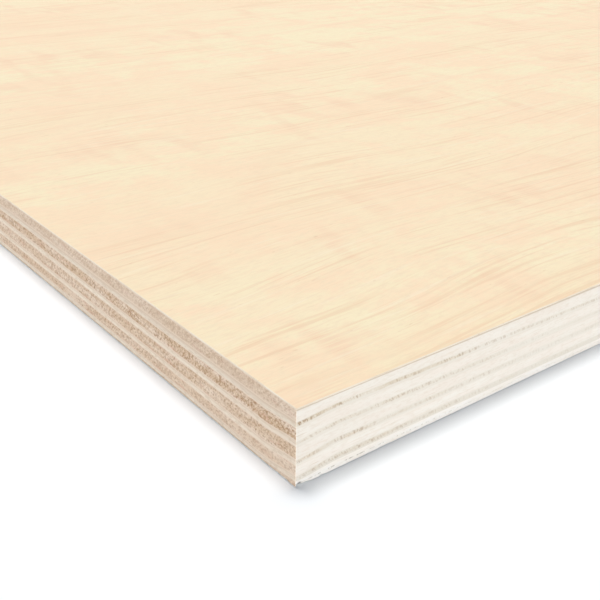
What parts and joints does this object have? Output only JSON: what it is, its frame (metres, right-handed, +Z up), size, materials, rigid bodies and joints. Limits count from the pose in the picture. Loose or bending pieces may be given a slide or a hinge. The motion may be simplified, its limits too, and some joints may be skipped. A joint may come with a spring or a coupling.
{
  "type": "plywood sheet",
  "caption": "Flat rectangular sheet of pale hardwood plywood, its crossed veneer plies showing as alternating bands along the sawn edges.",
  "frame": {"origin": "centre of the underside, on the floor that the sheet lies on", "axes": "+X along the sheet and the grain of its faces, +Y across it, +Z up through its thickness to the better face"},
  "size_m": [2.44, 1.22, 0.018],
  "materials": {
    "face_veneer": "sanded, bare",
    "crossband": "sawn edge, bare",
    "long_core": "sawn edge, bare",
    "back_veneer": "sanded, bare"
  },
  "bodies": {
    "root": {"face_veneer": "face_veneer", "crossband_1": "crossband", "long_core_1": "long_core", "crossband_2": "crossband", "centre_core": "long_core", "crossband_3": "crossband", "long_core_2": "long_core", "crossband_4": "crossband", "back_veneer": "back_veneer"}
  },
  "joints": []
}
